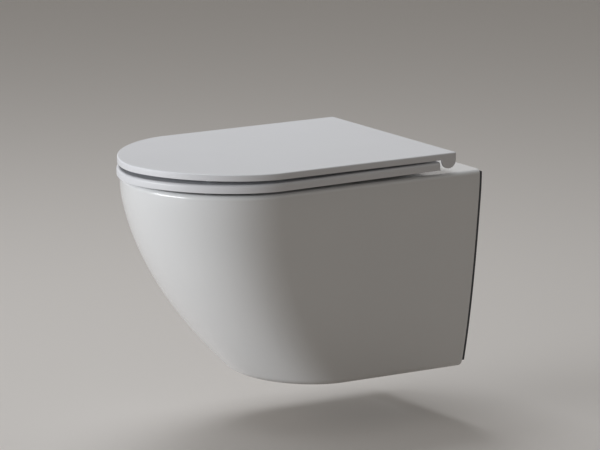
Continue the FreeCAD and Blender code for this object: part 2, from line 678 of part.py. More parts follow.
def seat_ring():
    def outline(inset, z):
        return d_wire(SEAT_HALF_WIDTH - inset, SEAT_REAR, SEAT_FRONT + inset,
                      SEAT_NOSE_LENGTH - inset, SEAT_NOSE_POWER, z)

    blank = rounded_slab(outline, SEAT_UNDER_Z, SEAT_TOP_Z, SEAT_UNDER_R, SEAT_OUTER_R)
    hole = prism(oval_wire(SEAT_HOLE_HALF_WIDTH, SEAT_HOLE_FRONT, SEAT_HOLE_REAR,
                           SEAT_UNDER_Z - 1, SEAT_HOLE_POWER), SEAT_THICKNESS + 2)
    ring = blank.cut(hole)
    lip = edges_where(ring, lambda b: at_height(b, SEAT_TOP_Z) and b.YMin > SEAT_HOLE_FRONT - 1
                      and b.YMax < SEAT_HOLE_REAR + 1)
    ring = ring.makeFillet(SEAT_INNER_R, lip)

    ears = []
    bores = []
    for span in (SEAT_EAR_IN, SEAT_EAR_OUT):
        ear, bore = seat_ear(span, BUSH_R + TOUCH)
        ears += both_sides(ear)
        bores += both_sides(bore)
    ear, bore = seat_ear(DAMPER_EAR_X, DAMPER_STUB_R + TOUCH)
    ears.append(mirrored(ear))
    bores.append(mirrored(bore))
    notch = box(BLOCK_INNER - SIDE_PLAY, BLOCK_OUTER + SIDE_PLAY, HINGE_Y - NOTCH_FRONT,
                SEAT_REAR + 1, SEAT_UNDER_Z - 1, SEAT_TOP_Z + 1)
    ring = ring.cut(both_sides(notch))
    ring = fused([ring] + ears).cut(bores)
    ring.rotate(Vector(0, HINGE_Y, HINGE_Z), X_AXIS, SEAT_TILT)
    return ring


def seat_drop(y):
    """How much lower the tilted seat is at a place."""
    return math.tan(math.radians(SEAT_TILT)) * (HINGE_Y - y)


def pad(length, width, z0, z1, x, y):
    """A buffer with round ends, lying along Y."""
    half = (length - width) / 2
    middle = box(x - width / 2, x + width / 2, y - half, y + half, z0, z1)
    ends = [rod_z(width / 2, z0, z1, x, y - half), rod_z(width / 2, z0, z1, x, y + half)]
    return fused([middle] + ends)


def seat_buffers(ring):
    """The pads under the seat, level below and cut to the seat's slope above."""
    pads = []
    for x, y in SEAT_BUFFER_PLACES:
        block = pad(SEAT_BUFFER_LENGTH, SEAT_BUFFER_WIDTH, DECK_Z + BUFFER_PLAY,
                    SEAT_UNDER_Z + BUFFER_PLAY, x, y)
        pads += both_sides(block.cut(ring))
    return group(pads)


# ---- cover ----
def cover_boss(span, bore_r):
    barrel = rod_x(COVER_BOSS_R, span[0], span[1])
    neck = box(span[0], span[1], HINGE_Y - COVER_BOSS_R, HINGE_Y + COVER_BOSS_R,
               HINGE_Z, COVER_UNDER_Z + 1)
    return [barrel, neck], rod_x(bore_r, span[0] - 1, span[1] + 1)


def seat_cover():
    low = COVER_TOP_Z - COVER_EDGE

    def outline(inset, z):
        return d_wire(COVER_HALF_WIDTH - inset, COVER_BACK, COVER_FRONT + inset,
                      SEAT_NOSE_LENGTH - inset, SEAT_NOSE_POWER, z)

    blank = rounded_slab(outline, low, COVER_TOP_Z, 0, COVER_EDGE_R)
    inside = prism(d_wire(COVER_HALF_WIDTH - COVER_RIM, COVER_BACK + 1, COVER_FRONT + COVER_RIM,
                          SEAT_NOSE_LENGTH - COVER_RIM, SEAT_NOSE_POWER, low - 1),
                   COVER_EDGE - COVER_PLATE + 1)
    solids = [blank.cut(inside)]
    ear_span = (COVER_HALF_WIDTH - COVER_RIM, COVER_HALF_WIDTH)
    ear = fused([rod_x(COVER_OVERHANG, ear_span[0], ear_span[1]),
                 box(ear_span[0], ear_span[1], HINGE_Y, COVER_BACK, HINGE_Z, low + 1)])
    upper = box(ear_span[0], ear_span[1], HINGE_Y - COVER_OVERHANG, COVER_BACK, low + 1,
                COVER_TOP_Z + COVER_OVERHANG)
    solids += both_sides(ear.cut(upper))
    bores = []
    boss, bore = cover_boss(COVER_BOSS_X, BUSH_R + TOUCH)
    for piece in boss:
        solids += both_sides(piece)
    bores += both_sides(bore)
    boss, bore = cover_boss(DAMPER_EAR_X, DAMPER_STUB_R + TOUCH)
    solids += boss
    bores.append(bore)
    return fused(solids).cut(bores)


def cover_buffers():
    pads = []
    for x, y in COVER_BUFFER_PLACES:
        highest = SEAT_TOP_Z - seat_drop(y + COVER_BUFFER_LENGTH / 2)
        pads += both_sides(pad(COVER_BUFFER_LENGTH, COVER_BUFFER_WIDTH, highest + BUFFER_PLAY,
                               COVER_UNDER_Z, x, y))
    return group(pads)


# ---- all pieces ----
def pieces():
    parts = pan_sections()
    ring = seat_ring()
    parts.update({
        "flush_splitter": flush_splitter(),
        "inlet_seal": inlet_seal(),
        "wall_sound_mat": wall_mat(),
        "stud_sleeves": group(both_sides(fixing_sleeve())),
        "stud_washers": group(both_sides(fixing_washer())),
        "stud_nuts": group(both_sides(fixing_nut())),
        "base_gaskets": group(both_sides(base_gasket())),
        "hinge_posts": group(both_sides(hinge_post())),
        "expansion_plugs": group(both_sides(expansion_plug())),
        "cone_nuts": group(both_sides(cone_nut())),
        "hinge_pins": group(both_sides(hinge_pin())),
        "seat_ring": ring,
        "seat_bushings": group(both_sides(bushing(SEAT_EAR_IN)) + both_sides(bushing(SEAT_EAR_OUT))),
        "seat_buffers": seat_buffers(ring),
        "seat_damper": mirrored(damper()),
        "seat_cover": seat_cover(),
        "cover_bushings": group(both_sides(bushing(COVER_BOSS_X))),
        "cover_buffers": cover_buffers(),
        "cover_damper": damper(),
    })
    for name, shape in (("hinge_base", hinge_base()), ("hinge_block", hinge_block()),
                        ("release_button", release_button()),
                        ("release_spring", release_spring())):
        parts[name + "_right"] = shape
        parts[name + "_left"] = mirrored(shape)
    return parts


if __name__ == "__main__":
    os.makedirs("parts", exist_ok=True)
    for node, shape in pieces().items():
        print(node, shape.isValid(), len(shape.Solids), round(shape.Volume / 1000, 2), "ml")
        shape.exportStep("parts/" + node + ".step")
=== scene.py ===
import json
import math

import bmesh
import bpy
import numpy as np
from mathutils import Matrix, Vector


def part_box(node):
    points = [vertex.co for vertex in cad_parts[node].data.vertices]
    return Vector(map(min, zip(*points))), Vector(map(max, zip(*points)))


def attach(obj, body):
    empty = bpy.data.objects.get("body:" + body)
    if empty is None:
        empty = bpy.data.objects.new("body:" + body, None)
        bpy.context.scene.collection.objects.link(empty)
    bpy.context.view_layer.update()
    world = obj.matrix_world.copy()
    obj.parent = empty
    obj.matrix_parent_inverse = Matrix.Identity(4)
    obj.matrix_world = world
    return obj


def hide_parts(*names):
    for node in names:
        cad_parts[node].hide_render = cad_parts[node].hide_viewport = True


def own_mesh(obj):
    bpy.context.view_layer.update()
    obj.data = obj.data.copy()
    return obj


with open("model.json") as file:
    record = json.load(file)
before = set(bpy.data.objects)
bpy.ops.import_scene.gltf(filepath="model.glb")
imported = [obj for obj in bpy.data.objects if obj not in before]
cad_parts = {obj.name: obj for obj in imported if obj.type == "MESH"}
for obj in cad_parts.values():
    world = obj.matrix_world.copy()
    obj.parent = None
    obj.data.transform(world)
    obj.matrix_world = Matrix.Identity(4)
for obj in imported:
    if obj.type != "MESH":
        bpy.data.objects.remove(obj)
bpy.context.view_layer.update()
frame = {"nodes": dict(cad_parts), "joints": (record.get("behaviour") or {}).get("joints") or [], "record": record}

MM = 0.001
CLEAR = 1.0 * MM          # how far a cutter starts beyond the face that it opens
PAST = 10.0 * MM          # how far a cutter that leaves the object runs on
SOLVER = "MANIFOLD"
GLAZED, BARE = 0, 1       # the pan's two finishes

# ---- places, from the frame ----
PAN_NODES = [name for name in frame["nodes"] if name.startswith("pan_")]
PAN_BOXES = [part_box(name) for name in PAN_NODES]
JOINTS = {joint["name"]: joint for joint in frame["joints"]}
HINGE_Y, HINGE_Z = JOINTS["seat_hinge"]["pos_m"][1:]
DECK_Z = max(high.z for low, high in PAN_BOXES)
PAN_BOTTOM = min(low.z for low, high in PAN_BOXES)
PAN_BACK = max(high.y for low, high in PAN_BOXES)
PAN_HEIGHT = DECK_Z - PAN_BOTTOM

# ---- the pan's form ----
PAN_HALF_WIDTH = 179.0 * MM
PAN_FRONT = -532.5 * MM
RIM_BAND = 22.0 * MM
BAND_KNEE = 16.0 * MM
SIDE_TAPER = 35.0 * MM
SIDE_CURVE = 14.0 * MM
FRONT_TAPER = 60.0 * MM
FRONT_CURVE = 134.5 * MM
NOSE_LENGTH = 161.0 * MM
NOSE_SHORTENING = 49.0 * MM
NOSE_POWER = 1.95
REAR_CORNER_R = 6.0 * MM
RIM_EDGE_R = 7.0 * MM
FOOT_EDGE_R = 10.0 * MM
SKIRT_WALL = 11.0 * MM
DECK_WALL = 14.0 * MM
FLOOR_WALL = 10.0 * MM
WEB_WALL = 14.0 * MM
WEB_BOTTOM = -30.0 * MM
ACCESS_HALF_WIDTH = 100.0 * MM
ACCESS_FRONT = -190.0 * MM
ACCESS_BACK = -28.0 * MM
BOWL_WALL = 10.0 * MM
BOWL_LIP_R = 8.0 * MM
# depth below the rim, half width, front and rear of the bowl's inner face, in mm
BOWL_LEVELS = (
    (0.0, 127.0, -488.0, -168.0),
    (60.0, 121.0, -480.0, -172.0),
    (120.0, 108.0, -458.0, -186.0),
    (170.0, 88.0, -425.0, -205.0),
    (210.0, 64.0, -385.0, -230.0),
    (250.0, 42.0, -350.0, -254.0),
    (290.0, 25.0, -325.0, -275.0),
)
TRAP_R = 26.0 * MM
TRAP_WALL = 9.0 * MM
TRAP_BOTTOM_Z = -208.0 * MM
TRAP_FRONT = -300.0 * MM
TRAP_TURN = -262.0 * MM
TRAP_TURN_R = 40.0 * MM
TRAP_SLOPE = math.radians(52.0)
TRAP_TOP_Z = -98.0 * MM
OUTLET_Z = -100.0 * MM
OUTLET_R = 51.0 * MM
OUTLET_WALL = 8.0 * MM
OUTLET_DOME_Y = -125.0 * MM
INLET_Z = 35.0 * MM
SOCKET_R = 27.5 * MM
SOCKET_DEPTH = 35.0 * MM
CHANNEL_R = 21.0 * MM
CHANNEL_WALL = 12.0 * MM
CHANNEL_FRONT = -178.0 * MM
STUD_X = 90.0 * MM
STUD_HOLE_R = 12.0 * MM
POST_X = 77.5 * MM
POST_Y = -100.3 * MM
DECK_HOLE_R = 7.5 * MM
DECK_HOLE_DEPTH = 20.0 * MM
HOLLOW_END = 20.0 * MM    # where the hollow's cutter ends, behind the wall's plane
WALLS_END = 30.0 * MM     # and the walls that are kept inside it
TINY = 0.001 * MM         # keeps two loops from coinciding
BALL_OVER = 1.0005        # a ball's radius against its pipe's, so that their skins don't coincide
BALL_UNDER = 0.9995

# ---- seat and cover ----
SEAT_TOP_Z = 106.0 * MM
SEAT_UNDER_Z = 92.8 * MM
SEAT_TILT = math.radians(0.5)
SEAT_HALF_WIDTH = 183.5 * MM
SEAT_FRONT = -544.0 * MM
SEAT_REAR = -84.4 * MM
SEAT_NOSE_LENGTH = 169.8 * MM
SEAT_NOSE_POWER = 1.763
SEAT_OUTER_R = 4.7 * MM
SEAT_INNER_R = 7.0 * MM
SEAT_UNDER_R = 1.2 * MM
SEAT_HOLE_HALF_WIDTH = 112.0 * MM
SEAT_HOLE_FRONT = -470.0 * MM
SEAT_HOLE_REAR = -196.0 * MM
SEAT_HOLE_POWER = 2.2
SEAT_RECESS = 3.5 * MM
SEAT_RECESS_BORDER = 13.0 * MM
SEAT_RECESS_REAR = -150.0 * MM
SEAT_RECESS_CORNER_R = 6.0 * MM
SEAT_BUFFERS = ((150.0 * MM, -250.0 * MM), (108.0 * MM, -452.0 * MM))
BUFFER_BOSS = (10.0 * MM, 20.0 * MM)
BARREL_R = 6.4 * MM
EAR_ROOT = 7.0 * MM
EAR_ROOT_R = 6.2 * MM
EAR_BORE_R = 4.3 * MM
STUB_BORE_R = 3.52 * MM
SEAT_EARS = ((56.0 * MM, 69.5 * MM), (85.5 * MM, 97.0 * MM))
DAMPER_EAR = (16.0 * MM, 23.5 * MM)
NOTCH = (69.5 * MM, 85.5 * MM)
NOTCH_FRONT = -127.3 * MM
COVER_HALF_WIDTH = 182.5 * MM
COVER_FRONT = -543.0 * MM
COVER_BACK = -54.3 * MM
COVER_TOP_Z = 119.0 * MM
COVER_UNDER_Z = 114.0 * MM
COVER_LOW_Z = 108.6 * MM
COVER_RIM = 4.0 * MM
COVER_EDGE_R = 2.2 * MM
COVER_LOW_R = 0.8 * MM
COVER_INNER_R = 2.0 * MM
COVER_EAR_R = 13.0 * MM
COVER_BOSS_X = (97.5 * MM, 108.0 * MM)
COVER_BOSS_R = 7.0 * MM
SMALL_EDGE_R = 0.5 * MM
SPRING_WIRE_R = 0.35 * MM
SPRING_TURNS = 3
SPRING_STEPS = 48         # in each turn
SPRING_SIDES = 12
FINE_LOOP = {"nose": 128, "side": 32, "rear": 24}

# ---- edges and shading ----
ROUNDED = {
    "seat_buffers": 1.4 * MM,
    "cover_buffers": 1.2 * MM,
    "hinge_block_left": 0.35 * MM,
    "hinge_block_right": 0.35 * MM,
    "stud_nuts": 0.3 * MM,
    "stud_washers": 0.25 * MM,
    "wall_sound_mat": 0.4 * MM,
}
ROUND_SEGMENTS = 3
ROUND_ANGLE = math.radians(50)
SHARP_ANGLE = math.radians(35)
FLAT_WEIGHT = 80          # how much large faces outweigh small ones

# ---- camera, solved from the photograph's straight edges ----
CAMERA_AZIMUTH = math.radians(58.07)
CAMERA_ELEVATION = math.radians(11.845)
CAMERA_LENS_MM = 268.3
SENSOR_MM = 36.0
CAMERA_DISTANCE = 7.1228
CAMERA_TARGET = Vector((0.0, -0.2721, -0.0600))
CAMERA_OFFSET_X = -0.03552
CAMERA_OFFSET_Y = -0.05228
CAMERA_CLIP_END = 100.0

# ---- stage and light ----
FLOOR_Z = -0.3335
FLOOR_ROUGHNESS = 0.9
FLOOR_HALF = 40.0
FLOOR_SEEN = (0.74, 0.71, 0.68)     # as the camera and gloss see it
FLOOR_LIT = (0.50, 0.45, 0.40)      # as it lights the object
WORLD_SEEN = (0.62, 0.60, 0.58)
WORLD_LIT = (1.00, 0.95, 0.89)
WORLD_STRENGTH = 0.195
LAMP_AIM = Vector((0, -0.3, 0))
LAMP_COLOUR = (0.945, 0.97, 1.0)
# name, place, width and height in metres, power in watts
LAMPS = (
    ("key", (-1.3, -7.5, 0.95), (4.6, 2.4), 390),
    ("top", (-0.9, -0.2, 2.6), (1.6, 1.6), 33),
)


# ---- mesh helpers ----
def new_object(name, mesh):
    obj = bpy.data.objects.new(name, mesh)
    bpy.context.scene.collection.objects.link(obj)
    return obj


def mesh_from_rows(name, rows):
    """A closed solid through loops that all have the same number of points."""
    count = len(rows[0])
    verts = [tuple(point) for row in rows for point in row]
    faces = []
    for r in range(len(rows) - 1):
        for i in range(count):
            j = (i + 1) % count
            faces.append((r * count + i, r * count + j, (r + 1) * count + j, (r + 1) * count + i))
    last = (len(rows) - 1) * count
    faces.append(tuple(range(count - 1, -1, -1)))
    faces.append(tuple(range(last, last + count)))
    mesh = bpy.data.meshes.new(name)
    mesh.from_pydata(verts, [], faces)
    fix = bmesh.new()
    fix.from_mesh(mesh)
    bmesh.ops.recalc_face_normals(fix, faces=fix.faces)
    fix.to_mesh(mesh)
    fix.free()
    return new_object(name, mesh)


def box_object(name, low, high):
    rows = []
    for z in (low[2], high[2]):
        rows.append([(low[0], low[1], z), (high[0], low[1], z),
                     (high[0], high[1], z), (low[0], high[1], z)])
    return mesh_from_rows(name, rows)


def rod_object(name, radius, start, end, steps=64):
    """A cylinder between two points."""
    start, end = Vector(start), Vector(end)
    along = (end - start).normalized()
    side = along.orthogonal().normalized()
    up = along.cross(side)
    rows = []
    for centre in (start, end):
        rows.append([centre + radius * (side * math.cos(2 * math.pi * i / steps)
                                        + up * math.sin(2 * math.pi * i / steps))
                     for i in range(steps)])
    return mesh_from_rows(name, rows)


def ball_object(name, radius, centre, steps=48):
    mesh = bpy.data.meshes.new(name)
    ball = bmesh.new()
    bmesh.ops.create_uvsphere(ball, u_segments=steps, v_segments=steps // 2, radius=radius,
                              matrix=Matrix.Translation(centre))
    ball.to_mesh(mesh)
    ball.free()
    return new_object(name, mesh)


def combine(target, others, operation):
    """Boolean of target with the other objects, which are used up."""
    for other in others:
        step = target.modifiers.new("step", "BOOLEAN")
        step.operation = operation
        step.object = other
        step.solver = SOLVER
    bpy.context.view_layer.update()
    depsgraph = bpy.context.evaluated_depsgraph_get()
    mesh = bpy.data.meshes.new_from_object(target.evaluated_get(depsgraph))
    old = target.data
    target.modifiers.clear()
    target.data = mesh
    bpy.data.meshes.remove(old)
    for other in others:
        bpy.data.objects.remove(other)
    return target


def two_finishes(obj, index):
    """Gives all faces of a pan solid one of the pan's two finishes."""
    obj.data.materials.clear()
    for name in ("glazed_white", "bare_clay"):
        obj.data.materials.append(MATERIALS[name])
    obj.data.polygons.foreach_set("material_index", [index] * len(obj.data.polygons))


def clamped_spline(points, start, end, samples):
    """A smooth curve through the points, with unit speed along start and end at its ends."""
    points = np.array(points, float)
    gaps = np.linalg.norm(np.diff(points, axis=0), axis=1)
    knots = np.concatenate([[0], np.cumsum(gaps)])
    n = len(points)
    system = np.zeros((n, n))
    right = np.zeros_like(points)
    system[0, 0] = system[-1, -1] = 1
    right[0], right[-1] = start, end
    for i in range(1, n - 1):
        a, b = gaps[i - 1], gaps[i]
        system[i, i - 1:i + 2] = b, 2 * (a + b), a
        right[i] = 3 * (b * (points[i] - points[i - 1]) / a + a * (points[i + 1] - points[i]) / b)
    slopes = np.linalg.solve(system, right)
    out = []
    for s in np.linspace(0, knots[-1], samples + 1):
        k = min(np.searchsorted(knots, s, "right") - 1, n - 2)
        h = gaps[k]
        t = (s - knots[k]) / h
        out.append((2 * t**3 - 3 * t**2 + 1) * points[k] + (t**3 - 2 * t**2 + t) * h * slopes[k]
                   + (3 * t**2 - 2 * t**3) * points[k + 1] + (t**3 - t**2) * h * slopes[k + 1])
    return np.array(out)


def signed_power(value, power):
    return math.copysign(abs(value) ** power, value)


def nose_points(half_width, front, length, power, samples):
    """The rounded front from the right side round to the left, as X and Y."""
    stops = 12
    coarse = []
    for i in range(stops + 1):
        turn = math.pi * i / stops
        coarse.append((half_width * signed_power(math.cos(turn), 2 / power),
                       front + length - length * abs(math.sin(turn)) ** (2 / power)))
    return clamped_spline(coarse, (0, -1), (0, 1), samples)


def line_points(start, end, count):
    """Evenly spaced points from start up to, but not including, end."""
    start, end = np.array(start), np.array(end)
    return [start + (end - start) * i / count for i in range(count)]


def corner_points(centre, radius, first, last, count):
    points = []
    for i in range(count):
        turn = math.radians(first + (last - first) * i / count)
        points.append(np.array((centre[0] + radius * math.cos(turn),
                                centre[1] + radius * math.sin(turn))))
    return points


def d_loop(half_width, back, front, length, power, z, corner=0.0,
           nose=96, side=24, rear=24, arc=6):
    """A D-shaped loop: straight back and sides, rounded front."""
    side_end = front + length
    points = list(nose_points(half_width, front, length, power, nose)[:-1])
    points += line_points((-half_width, side_end), (-half_width, back - corner), side)
    if corner > 0:
        points += corner_points((corner - half_width, back - corner), corner, 180, 90, arc)
    points += line_points((corner - half_width, back), (half_width - corner, back), rear)
    if corner > 0:
        points += corner_points((half_width - corner, back - corner), corner, 90, 0, arc)
    points += line_points((half_width, back - corner), (half_width, side_end), side)
    return [(x, y, z) for x, y in points]


def quarter_round(radius, steps):
    """Distance from the face and inset, along a quarter round, from the side to the face."""
    stops = []
    for i in range(steps + 1):
        turn = math.pi / 2 * i / steps
        stops.append((radius * (1 - math.sin(turn)), radius * (1 - math.cos(turn))))
    return stops


# ---- the pan ----
def below_band(depth):
    knee = math.hypot(depth - RIM_BAND, BAND_KNEE) + depth - RIM_BAND
    start = math.hypot(RIM_BAND, BAND_KNEE) - RIM_BAND
    return (knee - start) / 2


def pan_loop(depth, inset, back, corner):
    share = below_band(depth) / below_band(PAN_HEIGHT)
    half_width = PAN_HALF_WIDTH - SIDE_TAPER * share - SIDE_CURVE * share**3
    front = PAN_FRONT + FRONT_TAPER * share + FRONT_CURVE * share**2
    length = NOSE_LENGTH - NOSE_SHORTENING * share
    return d_loop(half_width - inset, back, front + inset, length - inset, NOSE_POWER,
                  DECK_Z - depth, corner)


def pan_outside():
    rows = []
    for depth, inset in reversed(quarter_round(RIM_EDGE_R, steps=8)):
        rows.append(pan_loop(depth, inset, PAN_BACK, REAR_CORNER_R))
    low = PAN_HEIGHT - FOOT_EDGE_R
    steps = 56
    for i in range(1, steps):
        depth = RIM_EDGE_R + (low - RIM_EDGE_R) * i / steps
        rows.append(pan_loop(depth, 0, PAN_BACK, REAR_CORNER_R))
    for rise, inset in quarter_round(FOOT_EDGE_R, steps=8):
        rows.append(pan_loop(PAN_HEIGHT - rise, inset, PAN_BACK, REAR_CORNER_R))
    return mesh_from_rows("pan_body", rows)


def pan_hollow():
    rows = []
    bottom = PAN_HEIGHT - FLOOR_WALL
    steps = 12
    for i in range(steps + 1):
        depth = DECK_WALL + (bottom - DECK_WALL) * i / steps
        rows.append(pan_loop(depth, SKIRT_WALL, HOLLOW_END, 0))
    return mesh_from_rows("pan_hollow", rows)


def bowl_level(depth):
    """Half width, front and rear of the bowl at a depth, smooth through the levels."""
    levels = np.array(BOWL_LEVELS) * MM
    depth = min(max(depth, levels[0][0]), levels[-1][0])
    k = min(int(np.searchsorted(levels[:, 0], depth, "right")) - 1, len(levels) - 2)
    slopes = np.gradient(levels[:, 1:], levels[:, 0], axis=0)
    h = levels[k + 1, 0] - levels[k, 0]
    t = (depth - levels[k, 0]) / h
    return ((2 * t**3 - 3 * t**2 + 1) * levels[k, 1:] + (t**3 - 2 * t**2 + t) * h * slopes[k]
            + (3 * t**2 - 2 * t**3) * levels[k + 1, 1:] + (t**3 - t**2) * h * slopes[k + 1])


def bowl_loop(depth, grow, z):
    half_width, front, rear = bowl_level(depth)
    middle = (front + rear) / 2
    half_length = (rear - front) / 2
    points = []
    count = 160
    for i in range(count):
        turn = 2 * math.pi * i / count
        points.append(((half_width + grow) * math.cos(turn),
                       middle + (half_length + grow) * math.sin(turn), z))
    return points


def bowl_object(name, grow, lip):
    deepest = BOWL_LEVELS[-1][0] * MM
    rows = [bowl_loop(0, grow + lip, DECK_Z + PAST)]
    for depth, flare in reversed(quarter_round(BOWL_LIP_R, steps=10)):
        if lip > 0:
            rows.append(bowl_loop(depth, grow + flare, DECK_Z - depth + TINY))
    steps = 48
    first = BOWL_LIP_R if lip > 0 else 0
    for i in range(1 if lip > 0 else 0, steps + 1):
        depth = first + (deepest - first) * i / steps
        rows.append(bowl_loop(depth, grow, DECK_Z - depth))
    return mesh_from_rows(name, rows)


def trap_object(name, radius):
    """The bent pipe that rises from the bottom of the bowl to the outlet."""
    centre = Vector((0, TRAP_TURN, TRAP_BOTTOM_Z + TRAP_TURN_R))
    stops = [(Vector((0, TRAP_FRONT, TRAP_BOTTOM_Z)), 0.0)]
    turns = 14
    for i in range(turns + 1):
        turn = TRAP_SLOPE * i / turns
        stops.append((centre + Vector((0, math.sin(turn), -math.cos(turn))) * TRAP_TURN_R, turn))
    last = stops[-1][0]
    run = (TRAP_TOP_Z - last.z) / math.sin(TRAP_SLOPE)
    upwards = Vector((0, math.cos(TRAP_SLOPE), math.sin(TRAP_SLOPE)))
    stops.append((last + upwards * run, TRAP_SLOPE))
    rows = []
    count = 64
    for stop, turn in stops:
        normal = Vector((0, -math.sin(turn), math.cos(turn)))
        rows.append([stop + radius * (Vector((math.cos(a), 0, 0)) + normal * math.sin(a))
                     for a in (2 * math.pi * i / count for i in range(count))])
    pipe = mesh_from_rows(name, rows)
    return [pipe, ball_object(name + "_end", radius * BALL_OVER, stops[0][0])]


def outlet_object(name, radius, back):
    dome = Vector((0, OUTLET_DOME_Y, OUTLET_Z))
    tube = rod_object(name, radius, dome, (0, back, OUTLET_Z), steps=96)
    return [tube, ball_object(name + "_dome", radius * BALL_UNDER, dome)]


def pan_object():
    body = pan_outside()
    hollow = pan_hollow()
    web = box_object("web", (-PAN_HALF_WIDTH, PAN_BACK - WEB_WALL, WEB_BOTTOM),
                     (PAN_HALF_WIDTH, WALLS_END, DECK_Z))
    channel = rod_object("channel", CHANNEL_R + CHANNEL_WALL, (0, CHANNEL_FRONT, INLET_Z),
                         (0, PAN_BACK, INLET_Z))
    kept = [web, bowl_object("bowl_wall", BOWL_WALL, 0), channel]
    kept += trap_object("trap_wall", TRAP_R + TRAP_WALL)
    kept += outlet_object("outlet_wall", OUTLET_R, WALLS_END)
    hollow = combine(hollow, kept, "DIFFERENCE")
    two_finishes(body, GLAZED)
    two_finishes(hollow, BARE)

    cuts = [hollow, bowl_object("bowl_inside", 0, BOWL_LIP_R)]
    cuts += trap_object("trap_inside", TRAP_R)
    cuts += outlet_object("outlet_inside", OUTLET_R - OUTLET_WALL, PAST)
    cuts.append(rod_object("channel_inside", CHANNEL_R, (0, CHANNEL_FRONT, INLET_Z),
                           (0, PAST, INLET_Z)))
    cuts.append(rod_object("socket", SOCKET_R, (0, PAN_BACK - SOCKET_DEPTH, INLET_Z),
                           (0, PAST, INLET_Z)))
    cuts.append(box_object("access", (-ACCESS_HALF_WIDTH, ACCESS_FRONT, PAN_BOTTOM - PAST),
                           (ACCESS_HALF_WIDTH, ACCESS_BACK, PAN_BOTTOM + FLOOR_WALL + CLEAR)))
    for side in (-1, 1):
        cuts.append(rod_object("stud_hole", STUD_HOLE_R,
                               (side * STUD_X, PAN_BACK - WEB_WALL - CLEAR, 0),
                               (side * STUD_X, PAST, 0)))
        cuts.append(rod_object("deck_hole", DECK_HOLE_R,
                               (side * POST_X, POST_Y, DECK_Z - DECK_HOLE_DEPTH),
                               (side * POST_X, POST_Y, DECK_Z + PAST)))
    for cut in cuts[1:]:
        two_finishes(cut, GLAZED)
    combine(body, cuts, "DIFFERENCE")
    for face in body.data.polygons:
        if face.center.y > PAN_BACK - SMALL_EDGE_R:
            face.material_index = BARE
    return body


# ---- pieces drawn along the hinge axis ----
def profile_object(name, outline, x0, x1, edge=SMALL_EDGE_R):
    """A solid between x0 and x1; outline(inset) gives its points as Y and Z."""
    rows = []
    for drop, inset in reversed(quarter_round(edge, steps=3)):
        rows.append([(x0 + drop, y, z) for y, z in outline(inset)])
    for drop, inset in quarter_round(edge, steps=3):
        rows.append([(x1 - drop, y, z) for y, z in outline(inset)])
    return mesh_from_rows(name, rows)


def arc(y, z, radius, first, last, count):
    return [(y + radius * math.cos(math.radians(first + (last - first) * i / count)),
             z + radius * math.sin(math.radians(first + (last - first) * i / count)))
            for i in range(count + 1)]


def seat_ear_outline(inset):
    """A strap from the hinge axis to the seat's rear edge."""
    y1 = SEAT_REAR - EAR_ROOT
    z1 = (SEAT_UNDER_Z + SEAT_TOP_Z) / 2
    span = math.hypot(y1 - HINGE_Y, z1 - HINGE_Z)
    heading = math.degrees(math.atan2(z1 - HINGE_Z, y1 - HINGE_Y))
    lean = math.degrees(math.acos((BARREL_R - EAR_ROOT_R) / span))
    points = arc(HINGE_Y, HINGE_Z, BARREL_R - inset, heading + lean, heading + 360 - lean, count=40)
    return points + arc(y1, z1, EAR_ROOT_R - inset, heading - lean, heading + lean, count=20)


def cover_ear_outline(inset):
    top = COVER_LOW_Z + CLEAR
    rise = math.degrees(math.asin((top - HINGE_Z) / COVER_EAR_R))
    points = arc(HINGE_Y, HINGE_Z, COVER_EAR_R - inset, 180 - rise, 360, count=48)
    return points + [(COVER_BACK - inset, top)]


def cover_boss_outline(inset):
    top = COVER_UNDER_Z + CLEAR
    points = arc(HINGE_Y, HINGE_Z, COVER_BOSS_R - inset, 180, 360, count=32)
    return points + [(HINGE_Y + COVER_BOSS_R - inset, top), (HINGE_Y - COVER_BOSS_R + inset, top)]


def axis_bore(radius, x0, x1):
    return rod_object("bore", radius, (x0 - CLEAR, HINGE_Y, HINGE_Z),
                      (x1 + CLEAR, HINGE_Y, HINGE_Z), steps=48)


def sides(span):
    return [span, (-span[1], -span[0])]


# ---- seat ----
def seat_loop(inset, z):
    return d_loop(SEAT_HALF_WIDTH - inset, SEAT_REAR, SEAT_FRONT + inset,
                  SEAT_NOSE_LENGTH - inset, SEAT_NOSE_POWER, z, **FINE_LOOP)


def seat_hole_loop(grow, z, count=192):
    middle = (SEAT_HOLE_FRONT + SEAT_HOLE_REAR) / 2
    half_length = (SEAT_HOLE_REAR - SEAT_HOLE_FRONT) / 2 + grow
    half_width = SEAT_HOLE_HALF_WIDTH + grow
    points = []
    for i in range(count):
        turn = 2 * math.pi * i / count
        points.append((half_width * signed_power(math.cos(turn), 2 / SEAT_HOLE_POWER),
                       middle + half_length * signed_power(math.sin(turn), 2 / SEAT_HOLE_POWER), z))
    return points


